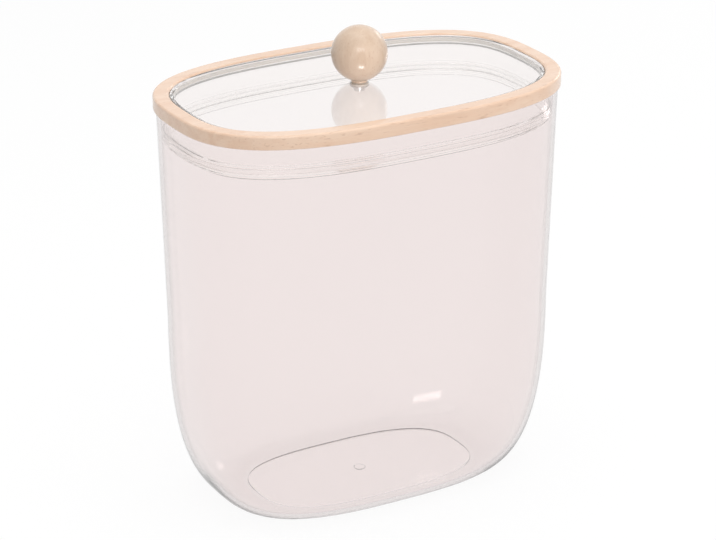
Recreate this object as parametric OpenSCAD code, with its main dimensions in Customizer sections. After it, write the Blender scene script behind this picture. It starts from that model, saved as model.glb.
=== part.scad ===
// Oval storage canister with a lift-off lid. The body and the lid panel are clear
// mouldings; a timber band runs round the lid, and a turned ball knob is screwed
// to its middle. The origin is the middle of the foot, on the table: X runs along
// the long side, Y from front to back, Z up. Sizes are in millimetres.

/* [Canister] */
// Width of the canister outside, at its rim
canister_w = 236.6; // [200:0.1:280]
// Depth of the canister outside, at its rim
canister_d = 145; // [120:0.1:180]
// Height of the canister, from the table to its rim
canister_h = 242; // [190:1:300]
// Squareness of the oval: 2 is an ellipse, more is squarer
oval_power = 2.87; // [2.3:0.01:3.6]
// Thickness of the canister wall
wall = 2.4; // [1.8:0.1:3.6]
// How far the wall leans in for each millimetre down
draft = 0.024; // [0.01:0.001:0.04]
// Rounding of the two edges of the rim
rim_round = 0.8; // [0.3:0.1:0.8]

/* [Base] */
// Width of the foot
foot_w = 146; // [120:1:160]
// Depth of the foot
foot_d = 83; // [64:1:96]
// Height over which the wall curves in to the foot
bowl_h = 113; // [80:1:130]
// Squareness of that curve: 2 is elliptical, more is squarer
bowl_power = 2.7; // [2.2:0.05:3.2]
// Thickness of the canister floor, from the table
floor_t = 3.2; // [2.6:0.1:5]
// Width of the flat ring that the canister stands on
foot_ring_w = 2.6; // [1.5:0.1:6]
// Depth of the hollow inside that ring
foot_hollow = 1.4; // [0.8:0.1:1.8]
// Diameter of the moulding gate, left in the middle of the hollow
gate_d = 7; // [4:0.5:12]
// How far the gate stands out of the hollow
gate_h = 0.5; // [0.3:0.1:0.6]

/* [Lid panel] */
// Thickness of the lid flange, which rests on the rim
flange_t = 2; // [1.4:0.1:2.6]
// Thickness of the lid plate
plate_t = 2.5; // [1.8:0.1:3.2]
// How far the plate lies below the top of the band
plate_drop = 0.7; // [0.5:0.1:4.2]
// Width of the wall that steps up from the flange to the plate
step_t = 2.2; // [1.6:0.1:3]
// Bevel on the moulded edges of the lid panel
panel_bevel = 0.4; // [0.2:0.1:0.5]

/* [Lid band] */
// How far the band stands out past the rim of the canister
lid_overhang = 1.7; // [0.5:0.1:4]
// Width of the timber band, seen from above
band_w = 9.5; // [7.5:0.1:14]
// Height of the timber band
band_h = 8.1; // [7.5:0.1:11]
// Thickness of the skirt of the band, which hides the edge of the flange
skirt_t = 1.9; // [1.2:0.1:3]
// Rounding of the two upper edges of the band
band_round = 1.5; // [0.5:0.1:2]
// Easing of the outer lower edge of the band
band_ease = 0.5; // [0.2:0.1:0.8]

/* [Plug and seal] */
// How far the plug reaches down into the canister
plug_h = 19.5; // [13:0.5:26]
// Space for the seal, between the canister wall and the plug
seal_space = 3.8; // [3.2:0.1:5]
// Thickness of the plug wall
plug_t = 2; // [1.5:0.1:3]
// How far the two ribs of the plug stand out
rib_out = 1.5; // [0.8:0.1:2]
// Thickness of each rib
rib_t = 1; // [0.8:0.1:1.2]
// Height of the lower rib above the bottom edge of the plug
rib_rise = 1.1; // [0.8:0.1:4]
// Height of the groove between the ribs
groove_h = 5.4; // [5:0.1:6.4]
// Thickness of the band of the seal, behind its lips
seal_t = 1.4; // [1:0.1:2]
// Thickness of each lip of the seal at its root
lip_root = 1.2; // [0.8:0.1:1.6]
// Thickness of each lip at its tip
lip_tip = 0.5; // [0.3:0.1:0.8]
// How far a lip sweeps up on its way to the wall
lip_rise = 0.9; // [0.4:0.1:1.2]

/* [Knob] */
// Diameter of the ball
ball_d = 32.6; // [26:0.2:40]
// Diameter of the turned neck under the ball
neck_d = 9.6; // [8.6:0.2:14]
// Height of the neck, from the plate to the ball
neck_h = 0.6; // [0.5:0.1:8]
// Radius of the hollow where the neck flows into the ball
neck_fillet = 1; // [0.4:0.1:1.2]
// Bevel on the foot of the neck
neck_bevel = 0.2; // [0.1:0.1:0.3]
// Depth of the hole up into the knob
socket_h = 14; // [13.5:0.5:22]

/* [Knob fastening] */
// Diameter of the screw shank
screw_d = 4; // [3:0.1:5]
// Length of the screw below its head
screw_l = 16; // [14:0.5:17]
// Bevel on the tip of the screw
screw_bevel = 0.6; // [0.3:0.1:1]
// Diameter of the screw head
head_d = 8; // [7:0.1:9]
// Height of the screw head
head_h = 2.6; // [2:0.1:3.5]
// How much narrower the head is at its crown
head_taper = 1.6; // [0.6:0.1:2.4]
// Width of the arms of the cross recess
recess_w = 1.2; // [0.8:0.1:1.6]
// Length of the arms of the cross recess
recess_l = 4.4; // [3:0.1:5]
// Depth of the cross recess
recess_h = 1.6; // [1:0.1:1.8]
// Diameter of the brass insert
insert_d = 6; // [5.6:0.1:7.6]
// Length of the brass insert
insert_l = 9.5; // [7:0.5:11]
// How far the insert sits up inside the knob
insert_sunk = 1; // [0.5:0.1:2]
// Width of the groove round the middle of the insert
insert_groove_w = 2; // [1:0.1:3]
// Depth of that groove
insert_groove = 0.3; // [0.1:0.05:0.4]
// Diameter of the two washers
washer_d = 11; // [9.5:0.1:16]
// Thickness of the steel washer
washer_t = 0.8; // [0.5:0.1:1.4]
// Thickness of the soft washer
pad_t = 1.2; // [0.8:0.1:1.6]

/* [Clearances] */
// Gap between the skirt of the band and the rim of the canister
skirt_gap = 0.3; // [0.2:0.05:0.6]
// Gap between the band and the lid panel that it fits round
band_gap = 0.2; // [0.05:0.05:0.4]
// Gap between the lips of the seal and the canister wall
lip_gap = 0.3; // [0.2:0.05:0.6]
// Gap between the seal and its groove
groove_gap = 0.08; // [0.05:0.01:0.2]
// Gap round the screw in its insert, and round the insert in the knob
thread_gap = 0.05; // [0.02:0.01:0.1]
// Gap round the screw in the plate and the washers
hole_gap = 0.3; // [0.1:0.05:0.6]

/* [Hidden] */

// Points round the oval, and steps up the curve of the bowl and round a corner
oval_steps = 84;
bowl_steps = 12;
round_steps = 3;
$fn = 64;

// How far a cutting tool reaches past the face that it cuts
past = 1;

// Heights of the lid
flange_top = canister_h + flange_t;
skirt_bottom = canister_h + skirt_gap;
band_top = skirt_bottom + band_h;
plate_top = band_top - plate_drop;
plate_bottom = plate_top - plate_t;
plug_bottom = canister_h - plug_h;
groove_bottom = plug_bottom + rib_rise + rib_t;
groove_top = groove_bottom + groove_h;

// Distances in from the canister's outer face, at its rim
band_out = -lid_overhang;
skirt_in = band_out + skirt_t;
flange_out = skirt_in + band_gap;
band_in = band_out + band_w;
step_out = band_in + band_gap;
step_in = step_out + step_t;
plug_out = wall + seal_space;
plug_in = plug_out + plug_t;

// Sizes of the knob and its fastening
ball_r = ball_d / 2;
neck_r = neck_d / 2;
ball_middle = plate_top + neck_h + ball_r;
insert_bottom = plate_top + insert_sunk;
pad_bottom = plate_bottom - pad_t;
washer_bottom = pad_bottom - washer_t;
screw_hole_d = screw_d + 2 * hole_gap;

// Angles of the points round a corner
corner = [for (i = [0 : round_steps]) 90 * i / round_steps];
corner_back = [for (i = [round_steps : -1 : 0]) corner[i]];

// Signed power, which keeps a superellipse in its own quadrant
function signed(v, p) = sign(v) * pow(abs(v), p);

// The oval of half sizes a and b, moved in by inset square to its own edge
function oval(a, b, inset) = [
    for (i = [0 : oval_steps - 1])
        let (
            t = 360 * i / oval_steps,
            c = cos(t),
            s = sin(t),
            edge = [a * signed(c, 2 / oval_power), b * signed(s, 2 / oval_power)],
            slope = [signed(c, 2 - 2 / oval_power) / a, signed(s, 2 - 2 / oval_power) / b]
        )
        edge - inset * slope / norm(slope)
];

// Joins ring after ring of the oval into a skin. A station is [a, b, inset, z].
// A loop joins its last ring to its first; otherwise both ends are closed flat.
module oval_loft(stations, loop = false) {
    rings = [for (s = stations) [for (p = oval(s[0], s[1], s[2])) [p[0], p[1], s[3]]]];
    count = len(rings);
    points = [for (ring = rings) each ring];
    spans = loop ? count : count - 1;
    skin = [
        for (k = [0 : spans - 1], i = [0 : oval_steps - 1])
            let (
                here = k * oval_steps,
                next = ((k + 1) % count) * oval_steps,
                j = (i + 1) % oval_steps
            )
            each [
                [here + i, next + i, next + j],
                [here + i, next + j, here + j],
            ]
    ];
    first = [for (i = [0 : oval_steps - 1]) i];
    last = [for (i = [oval_steps - 1 : -1 : 0]) (count - 1) * oval_steps + i];
    polyhedron(points, loop ? skin : concat(skin, [first, last]));
}

// Half sizes of the canister outside at height z, where the wall is straight
function lean(z) = draft * (canister_h - z);
function straight(z) = [canister_w / 2 - lean(z), canister_d / 2 - lean(z)];

// The curve from the foot up to the straight wall, for turn from 0 to 90
function bowl(turn) = let (
    foot = [foot_w / 2, foot_d / 2],
    out = foot + (straight(bowl_h) - foot) * pow(sin(turn), 2 / bowl_power)
)
[out[0], out[1], bowl_h * (1 - pow(cos(turn), 2 / bowl_power))];

// How steep the bowl is at that turn: [rise, run] of a short step, at unit length
function bowl_lie(turn) = let (
    low = bowl(max(turn - 1, 0)),
    high = bowl(min(turn + 1, 90)),
    step = [high[2] - low[2], (high[0] - low[0] + high[1] - low[1]) / 2]
)
step / norm(step);

// The outer face from the foot to the rim, then the inner face down to the floor.
// The wall keeps its thickness round the bowl, and thickens to the floor.
module canister_shell() {
    turns = [for (i = [0 : bowl_steps]) 90 * i / bowl_steps];
    foot = bowl(0);
    mouth = straight(canister_h);
    ring_in = [foot[0], foot[1], foot_ring_w, 0];
    hollow = [foot[0], foot[1], foot_ring_w + foot_hollow / 4, foot_hollow];
    outside = [for (t = turns) let (p = bowl(t)) [p[0], p[1], 0, p[2]]];
    rim_out = [
        for (t = corner)
            [mouth[0], mouth[1], rim_round * (1 - cos(t)), canister_h - rim_round * (1 - sin(t))]
    ];
    rim_in = [
        for (t = corner_back)
            [mouth[0], mouth[1], wall - rim_round * (1 - cos(t)), canister_h - rim_round * (1 - sin(t))]
    ];
    inside = [
        for (i = [bowl_steps : -1 : 0])
            let (
                p = bowl(turns[i]),
                lie = i == 0 ? [0, 1] : bowl_lie(turns[i]),
                thick = wall + (floor_t - wall) * lie[1]
            )
            [p[0], p[1], thick * lie[0], p[2] + thick * lie[1]]
    ];
    oval_loft(concat([hollow, ring_in], outside, rim_out, rim_in, inside));
}

// Clear canister, with the mark of the moulding gate under its floor.
module canister() {
    color([0.93, 0.89, 0.88, 0.4])
        union() {
            canister_shell();
            translate([0, 0, foot_hollow - gate_h])
                cylinder(d = gate_d, h = gate_h + (floor_t - foot_hollow) / 2);
        }
}

// A station of the lid: inset from the canister's outer face at its rim, and height
function lid_station(inset, z) = [canister_w / 2, canister_d / 2, inset, z];

// One rib of the plug, from its upper corner down
function rib(top) = [
    lid_station(plug_out, top),
    lid_station(plug_out - rib_out, top),
    lid_station(plug_out - rib_out, top - rib_t),
    lid_station(plug_out, top - rib_t),
];

// Clear plate, the step and flange round it, and the plug with its two ribs.
module lid_panel() {
    bevel = panel_bevel;
    outer_face = [
        lid_station(step_out + bevel, plate_top),
        lid_station(step_out, plate_top - bevel),
        lid_station(step_out, flange_top),
        lid_station(flange_out + bevel, flange_top),
        lid_station(flange_out, flange_top - bevel),
        lid_station(flange_out, canister_h),
    ];
    plug_outside = concat(
        [lid_station(plug_out, canister_h)],
        rib(groove_top + rib_t),
        rib(groove_bottom),
        [lid_station(plug_out, plug_bottom + bevel), lid_station(plug_out + bevel, plug_bottom)]
    );
    inner_face = [
        lid_station(plug_in - bevel, plug_bottom),
        lid_station(plug_in, plug_bottom + bevel),
        lid_station(plug_in, canister_h - bevel),
        lid_station(step_in, canister_h + bevel),
        lid_station(step_in, plate_bottom),
    ];
    color([0.95, 0.93, 0.91, 0.4])
        difference() {
            oval_loft(concat(outer_face, plug_outside, inner_face));
            translate([0, 0, plate_bottom - past])
                cylinder(d = screw_hole_d, h = plate_t + 2 * past);
        }
}

// Timber band, seated on the flange and round the step, with its skirt outside.
module lid_band() {
    lower_edge = [
        lid_station(band_in, flange_top),
        lid_station(skirt_in, flange_top),
        lid_station(skirt_in, skirt_bottom),
        lid_station(band_out + band_ease, skirt_bottom),
        lid_station(band_out, skirt_bottom + band_ease),
    ];
    outer_corner = [
        for (t = corner)
            lid_station(band_out + band_round * (1 - cos(t)), band_top - band_round * (1 - sin(t)))
    ];
    inner_corner = [
        for (t = corner_back)
            lid_station(band_in - band_round * (1 - cos(t)), band_top - band_round * (1 - sin(t)))
    ];
    color([0.87, 0.73, 0.60])
        oval_loft(concat(lower_edge, outer_corner, inner_corner), loop = true);
}

// One lip of the seal, from its lower root out to its tip and back
function lip(root_out, root_z) = let (
    tip_z = root_z + lip_rise,
    tip_out = wall + lean(tip_z) + lip_gap
)
[
    lid_station(root_out, root_z),
    lid_station(tip_out, tip_z),
    lid_station(tip_out, tip_z + lip_tip),
    lid_station(root_out, root_z + lip_root),
];

// Seal in the groove of the plug: a flat band with two lips that sweep upwards.
module lid_seal() {
    back = plug_out - groove_gap;
    front = back - seal_t;
    low = groove_bottom + groove_gap;
    high = groove_top - groove_gap;
    pitch = (high - low) / 2;
    lips = [for (i = [0, 1]) each lip(front, low + pitch * i + (pitch - lip_root) / 2)];
    lower = [lid_station(back, low), lid_station(front, low)];
    upper = [lid_station(front, high), lid_station(back, high)];
    color([0.92, 0.92, 0.90]) oval_loft(concat(lower, lips, upper), loop = true);
}

// Half of the knob's outline: the ball, its neck, and the hollow between them.
module knob_outline() {
    fillet_r = neck_r + neck_fillet;
    fillet_z = ball_middle - sqrt(pow(ball_r + neck_fillet, 2) - pow(fillet_r, 2));
    intersection() {
        translate([0, ball_middle]) circle(r = ball_r);
        translate([0, ball_middle - ball_r]) square([ball_r, ball_d]);
    }
    polygon([
        [0, plate_top],
        [neck_r - neck_bevel, plate_top],
        [neck_r, plate_top + neck_bevel],
        [neck_r, fillet_z],
        [0, fillet_z],
    ]);
    difference() {
        polygon([[0, fillet_z], [fillet_r, fillet_z], [0, ball_middle]]);
        translate([fillet_r, fillet_z]) circle(r = neck_fillet);
    }
}

// Turned ball and neck, with the socket up from its foot.
module knob() {
    color([0.88, 0.72, 0.57])
        difference() {
            rotate_extrude() knob_outline();
            translate([0, 0, plate_top - past])
                cylinder(r = insert_d / 2 + thread_gap, h = socket_h + past);
        }
}

// Brass insert, with the groove between its two gripping bands.
module knob_insert() {
    insert_r = insert_d / 2;
    color([0.80, 0.65, 0.32])
        translate([0, 0, insert_bottom])
            difference() {
                cylinder(r = insert_r, h = insert_l);
                translate([0, 0, -past])
                    cylinder(d = screw_d + 2 * thread_gap, h = insert_l + 2 * past);
                translate([0, 0, (insert_l - insert_groove_w) / 2])
                    difference() {
                        cylinder(r = insert_r + past, h = insert_groove_w);
                        translate([0, 0, -past])
                            cylinder(r = insert_r - insert_groove, h = insert_groove_w + 2 * past);
                    }
            }
}

// Cross-recess screw, up through the washers and the plate into the insert.
module knob_screw() {
    color([0.72, 0.73, 0.75])
        translate([0, 0, washer_bottom]) {
            difference() {
                translate([0, 0, -head_h]) cylinder(d1 = head_d - head_taper, d2 = head_d, h = head_h);
                for (turn = [0, 90])
                    rotate([0, 0, turn])
                        translate([-recess_l / 2, -recess_w / 2, -head_h - past])
                            cube([recess_l, recess_w, recess_h + past]);
            }
            cylinder(d = screw_d, h = screw_l - screw_bevel);
            translate([0, 0, screw_l - screw_bevel])
                cylinder(d1 = screw_d, d2 = screw_d - 2 * screw_bevel, h = screw_bevel);
        }
}

// A flat washer round the screw, up from its lower face
module washer(bottom, thick) {
    translate([0, 0, bottom])
        difference() {
            cylinder(d = washer_d, h = thick);
            translate([0, 0, -past]) cylinder(d = screw_hole_d, h = thick + 2 * past);
        }
}

module screw_washer() {
    color([0.75, 0.76, 0.78]) washer(washer_bottom, washer_t);
}

module soft_washer() {
    color([0.90, 0.90, 0.88]) washer(pad_bottom, pad_t);
}

canister();
lid_panel();
lid_band();
lid_seal();
knob();
knob_insert();
knob_screw();
screw_washer();
soft_washer();
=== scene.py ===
"""Dresses the clear storage canister: its mouldings, timber band, seal and ball knob."""

import logging
import math
from dataclasses import dataclass
from enum import Enum
from typing import Protocol, Self, Sequence

import bmesh
import bpy
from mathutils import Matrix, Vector


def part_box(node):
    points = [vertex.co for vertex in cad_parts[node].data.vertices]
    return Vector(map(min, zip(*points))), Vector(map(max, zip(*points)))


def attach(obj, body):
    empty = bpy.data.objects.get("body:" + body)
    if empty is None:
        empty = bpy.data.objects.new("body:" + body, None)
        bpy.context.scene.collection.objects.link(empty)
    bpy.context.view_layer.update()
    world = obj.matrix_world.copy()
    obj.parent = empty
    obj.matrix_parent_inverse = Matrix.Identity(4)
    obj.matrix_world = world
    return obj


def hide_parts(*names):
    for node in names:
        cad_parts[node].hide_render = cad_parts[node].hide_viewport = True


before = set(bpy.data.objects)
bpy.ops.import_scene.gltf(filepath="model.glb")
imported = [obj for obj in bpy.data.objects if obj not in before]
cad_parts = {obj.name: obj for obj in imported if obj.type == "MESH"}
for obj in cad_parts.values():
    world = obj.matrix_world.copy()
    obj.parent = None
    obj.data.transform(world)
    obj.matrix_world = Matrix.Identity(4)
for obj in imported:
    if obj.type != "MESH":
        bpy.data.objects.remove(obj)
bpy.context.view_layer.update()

MM = 0.001
TURN_LAYER = "turn"
# The mesh layer that marks the band's faces in shade, which are painted a lighter wood.
PAINTED_LIGHT_LAYER = "painted_light"
LOG = logging.getLogger("canister")

OVAL_POWER = 2.87
RING_POINTS = 240
PAD_ROUND = 0.4 * MM
# A face whose normal rises more than this points up.
POINTS_UP = 0.5
OUTLINE_STEPS = 2000
SMOOTH_BELOW = math.radians(35)
# What a clear face lets through of a lamp's light, apart from its tint.
LAMP_THROUGH_FACE = 0.97

Colour = tuple[float, float, float]


def shade(red: int, green: int, blue: int) -> Colour:
    """Turns a colour as it is seen on screen into the linear one that shaders take.

    Args:
        red: Red, from 0 to 255.
        green: Green, from 0 to 255.
        blue: Blue, from 0 to 255.

    Returns:
        The linear colour, each part from 0 to 1.
    """
    parts = (red / 255, green / 255, blue / 255)
    return tuple(p / 12.92 if p <= 0.04045 else ((p + 0.055) / 1.055) ** 2.4 for p in parts)


def signed_power(value: float, power: float) -> float:
    """Raises the size of a number to a power and keeps its sign."""
    return math.copysign(abs(value) ** power, value)


def arc_steps(count: int) -> list[float]:
    """Angles from 0 to a right angle, in even steps."""
    return [math.pi / 2 * i / count for i in range(count + 1)]


def round_turns(count: int) -> list[float]:
    """Angles of so many points, evenly round a circle."""
    return [2 * math.pi * i / count for i in range(count)]


class RingShape(Protocol):
    """Anything that gives the point of a ring at a turn round the vertical axis."""

    def point(self, turn: float) -> Vector:
        """Gives the ring's point at that turn."""


@dataclass(frozen=True)
class Oval:
    """The squarish oval that the canister and its lid follow.

    Attributes:
        half_x: Half of its width.
        half_y: Half of its depth.
        power: 2 is an ellipse, and more is squarer.
    """

    half_x: float
    half_y: float
    power: float

    def edge(self, turn: float, inset: float) -> Vector:
        """Gives a point of the outline, moved in square to the outline itself.

        Args:
            turn: The angle of the point, in radians.
            inset: How far the point is moved in, in metres.

        Returns:
            The point, on the plane of the oval.
        """
        share = 2 / self.power
        c, s = math.cos(turn), math.sin(turn)
        rim = Vector((self.half_x * signed_power(c, share), self.half_y * signed_power(s, share)))
        out = Vector((signed_power(c, 2 - share) / self.half_x, signed_power(s, 2 - share) / self.half_y))
        return rim - inset * out.normalized()

    def even_turns(self, count: int) -> list[float]:
        """Finds the angles that space points evenly along the outline.

        Args:
            count: How many points go round, a multiple of four.

        Returns:
            The angles, alike in each quarter.
        """
        angles = arc_steps(OUTLINE_STEPS)
        lengths = [0.0]
        for low, high in zip(angles, angles[1:]):
            lengths.append(lengths[-1] + (self.edge(high, 0) - self.edge(low, 0)).length)
        quarter, place = [], 0
        for step in range(count // 4 + 1):
            wanted = lengths[-1] * step / (count // 4)
            while place < OUTLINE_STEPS and lengths[place] < wanted:
                place += 1
            quarter.append(angles[place])
        back = [math.pi - turn for turn in reversed(quarter)]
        half = quarter[:-1] + back[:-1]
        return half + [turn + math.pi for turn in half]


@dataclass(frozen=True)
class OvalRing:
    """One ring of a moulding: an oval, how far in from it, and how high.

    Attributes:
        oval: The outline that the ring follows.
        inset: How far the ring lies inside the outline.
        height: How high the ring lies.
    """

    oval: Oval
    inset: float
    height: float

    def point(self, turn: float) -> Vector:
        """Gives the ring's point at that turn."""
        return self.oval.edge(turn, self.inset).to_3d() + Vector((0, 0, self.height))


@dataclass(frozen=True)
class RoundRing:
    """One round ring about the vertical axis.

    Attributes:
        radius: Its radius.
        height: How high it lies.
    """

    radius: float
    height: float

    def point(self, turn: float) -> Vector:
        """Gives the ring's point at that turn."""
        return Vector((self.radius * math.cos(turn), self.radius * math.sin(turn), self.height))


@dataclass(frozen=True)
class ThreadRing:
    """One ring across a screw thread.

    Attributes:
        crest: The radius of the crests.
        depth: How deep the thread is cut.
        pitch: How far the thread climbs in a turn.
        height: How high the ring lies.
        limit: The greatest radius that the ring may have, as at a pointed tip.
    """

    crest: float
    depth: float
    pitch: float
    height: float
    limit: float = math.inf

    def point(self, turn: float) -> Vector:
        """Gives the ring's point at a turn.

        Args:
            turn: The angle, in radians.

        Returns:
            The point on the thread's flank, root or crest.
        """
        climb = (self.height / self.pitch - turn / (2 * math.pi)) % 1
        radius = self.crest - self.depth * (1 - abs(2 * climb - 1))
        return RoundRing(min(radius, self.limit), self.height).point(turn)


@dataclass(frozen=True)
class KnurlRing:
    """One ring across a diamond knurl.

    Attributes:
        crest: The radius of the diamonds' tops.
        depth: How deep the grooves between them are.
        count: How many grooves run each way.
        twist: How far the grooves turn, in radians for each metre of height.
        height: How high the ring lies.
    """

    crest: float
    depth: float
    count: int
    twist: float
    height: float

    def point(self, turn: float) -> Vector:
        """Gives the ring's point at a turn.

        Args:
            turn: The angle, in radians.

        Returns:
            The point, on a diamond or in a groove.
        """
        slide = self.twist * self.height
        left, right = (abs(math.sin(self.count / 2 * (turn + way * slide))) for way in (-1, 1))
        groove = max(0.0, 1 - 2 * min(left, right))
        return RoundRing(self.crest - self.depth * groove, self.height).point(turn)


class Ends(Enum):
    """How the first and last rings of a loft are closed."""

    FLAT = "a flat face over each"
    LOOP = "joined to each other"
    POINT_LAST = "a flat face over the first, and a point at the last"


class RingLoft:
    """Grows a skin from a circle, by extruding its edge and setting it on the next ring."""

    def __init__(self, name: str, turns: Sequence[float]) -> None:
        """Adds the circle, and numbers its points.

        Args:
            name: The name of the new piece.
            turns: The angle of each point round the rings.
        """
        self.turns = turns
        bpy.ops.object.select_all(action="DESELECT")
        bpy.ops.mesh.primitive_circle_add(vertices=len(turns), radius=1)
        self.piece = bpy.context.object
        self.piece.name = name
        bpy.ops.object.mode_set(mode="EDIT")
        mesh = bmesh.from_edit_mesh(self.piece.data)
        layer = mesh.verts.layers.int.new(TURN_LAYER)
        for index, vert in enumerate(mesh.verts):
            vert[layer] = index
        bmesh.update_edit_mesh(self.piece.data)

    def _set_on(self, ring: RingShape) -> None:
        """Sets the points that are selected on a ring.

        Args:
            ring: The ring.
        """
        mesh = bmesh.from_edit_mesh(self.piece.data)
        layer = mesh.verts.layers.int[TURN_LAYER]
        for vert in mesh.verts:
            if vert.select:
                vert.co = ring.point(self.turns[vert[layer]])
        bmesh.update_edit_mesh(self.piece.data)

    def _select_ends(self, first: bool, last: bool) -> None:
        """Selects the open rings, by the order in which they were made.

        Args:
            first: Whether the first ring is selected.
            last: Whether the last ring is selected.
        """
        count = len(self.turns)
        bpy.ops.mesh.select_all(action="DESELECT")
        mesh = bmesh.from_edit_mesh(self.piece.data)
        mesh.verts.ensure_lookup_table()
        for edge in mesh.edges:
            at_first = all(v.index < count for v in edge.verts)
            at_last = all(v.index >= len(mesh.verts) - count for v in edge.verts)
            if (first and at_first) or (last and at_last):
                edge.select_set(True)
        bmesh.update_edit_mesh(self.piece.data)

    def through(self, rings: Sequence[RingShape], ends: Ends) -> bpy.types.Object:
        """Runs the skin through the rings and closes it.

        Args:
            rings: The rings in order.
            ends: How the first and last ring are closed.

        Returns:
            The finished piece, smooth but for its sharp edges, its normals outwards.
        """
        bpy.ops.mesh.select_mode(type="EDGE")
        bpy.ops.mesh.select_all(action="SELECT")
        self._set_on(rings[0])
        for ring in rings[1:]:
            bpy.ops.mesh.extrude_region_move()
            self._set_on(ring)
        if ends is Ends.LOOP:
            self._select_ends(first=True, last=True)
            bpy.ops.mesh.bridge_edge_loops()
        else:
            self._select_ends(first=False, last=True)
            if ends is Ends.POINT_LAST:
                bpy.ops.mesh.merge(type="CENTER")
            else:
                bpy.ops.mesh.edge_face_add()
            self._select_ends(first=True, last=False)
            bpy.ops.mesh.edge_face_add()
        bpy.ops.mesh.select_all(action="SELECT")
        bpy.ops.mesh.normals_make_consistent(inside=False)
        bpy.ops.object.mode_set(mode="OBJECT")
        self.piece.data.attributes.remove(self.piece.data.attributes[TURN_LAYER])
        bpy.ops.object.shade_smooth_by_angle(angle=SMOOTH_BELOW)
        level = self.piece.modifiers.new("level", "WEIGHTED_NORMAL")
        level.keep_sharp = True
        bpy.ops.object.modifier_apply(modifier=level.name)
        return self.piece


class NodeSheet:
    """A material's nodes, added and wired in one call each."""

    def __init__(self, name: str) -> None:
        """Makes an empty material.

        Args:
            name: The material's name.
        """
        self.material = bpy.data.materials.new(name)
        self.material.use_nodes = True
        self.tree = self.material.node_tree
        self.tree.nodes.clear()

    def add(self, kind: str, settings: dict[str, str] | None = None, **inputs: object) -> bpy.types.Node:
        """Adds a node.

        Args:
            kind: The node's type, without the word ShaderNode.
            settings: Values for the node's own properties.
            **inputs: A value, or an output to wire, for each input. An underscore in a
                name stands for a blank, and names that start with slot_ go by number.

        Returns:
            The new node.
        """
        node = self.tree.nodes.new("ShaderNode" + kind)
        for name, value in (settings or {}).items():
            setattr(node, name, value)
        for name, value in inputs.items():
            number = name.removeprefix("slot_")
            socket = node.inputs[int(number)] if number != name else node.inputs[name.replace("_", " ")]
            if isinstance(value, bpy.types.NodeSocket):
                self.tree.links.new(value, socket)
            else:
                socket.default_value = value
        return node

    def coordinates(
        self, scale: Sequence[float], shift: Sequence[float] = (0, 0, 0)
    ) -> bpy.types.NodeSocket:
        """Gives the piece's own coordinates, scaled.

        Args:
            scale: How much each axis is scaled.
            shift: How far the pattern is moved, after it is scaled.

        Returns:
            The output that holds the scaled point.
        """
        place = self.add("TexCoord").outputs["Object"]
        return self.add("Mapping", Vector=place, Scale=scale, Location=shift).outputs["Vector"]

    def noise(
        self, grain: Sequence[float], detail: float, shift: Sequence[float] = (0, 0, 0), rough: float = 0.5
    ) -> bpy.types.NodeSocket:
        """Adds noise on the piece's own coordinates.

        Args:
            grain: How many features there are in a metre, along each axis.
            detail: How many finer layers it has.
            shift: How far the pattern is moved.
            rough: How strong the finer layers are.

        Returns:
            The output that holds the noise.
        """
        place = self.coordinates(grain, shift)
        node = self.add("TexNoise", Vector=place, Scale=1.0, Detail=detail, Roughness=rough)
        return node.outputs["Fac"]

    def ramp(
        self, factor: bpy.types.NodeSocket, stops: Sequence[tuple[float, Colour]]
    ) -> bpy.types.NodeSocket:
        """Colours a factor.

        Args:
            factor: The output that drives the ramp.
            stops: Each stop's place and colour.

        Returns:
            The output that holds the colour.
        """
        node = self.add("ValToRGB", Fac=factor)
        elements = node.color_ramp.elements
        while len(elements) < len(stops):
            elements.new(0.5)
        for element, (place, colour) in zip(elements, stops):
            element.position = place
            element.color = (*colour, 1)
        return node.outputs["Color"]

    def spread(self, factor: bpy.types.NodeSocket, low: float, high: float) -> bpy.types.NodeSocket:
        """Spreads a factor from 0 to 1 between two values."""
        return self.add("MapRange", Value=factor, To_Min=low, To_Max=high).outputs["Result"]

    def close(
        self, surface: bpy.types.NodeSocket, volume: bpy.types.NodeSocket | None = None
    ) -> bpy.types.Material:
        """Wires the material's output.

        Args:
            surface: The surface shader.
            volume: The volume shader, or None.

        Returns:
            The material.
        """
        out = self.add("OutputMaterial", Surface=surface)
        if volume is not None:
            self.tree.links.new(volume, out.inputs["Volume"])
        return self.material


class Finish(Protocol):
    """A finish that a piece can be dressed in."""

    def material(self) -> bpy.types.Material:
        """Makes the material."""


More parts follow.
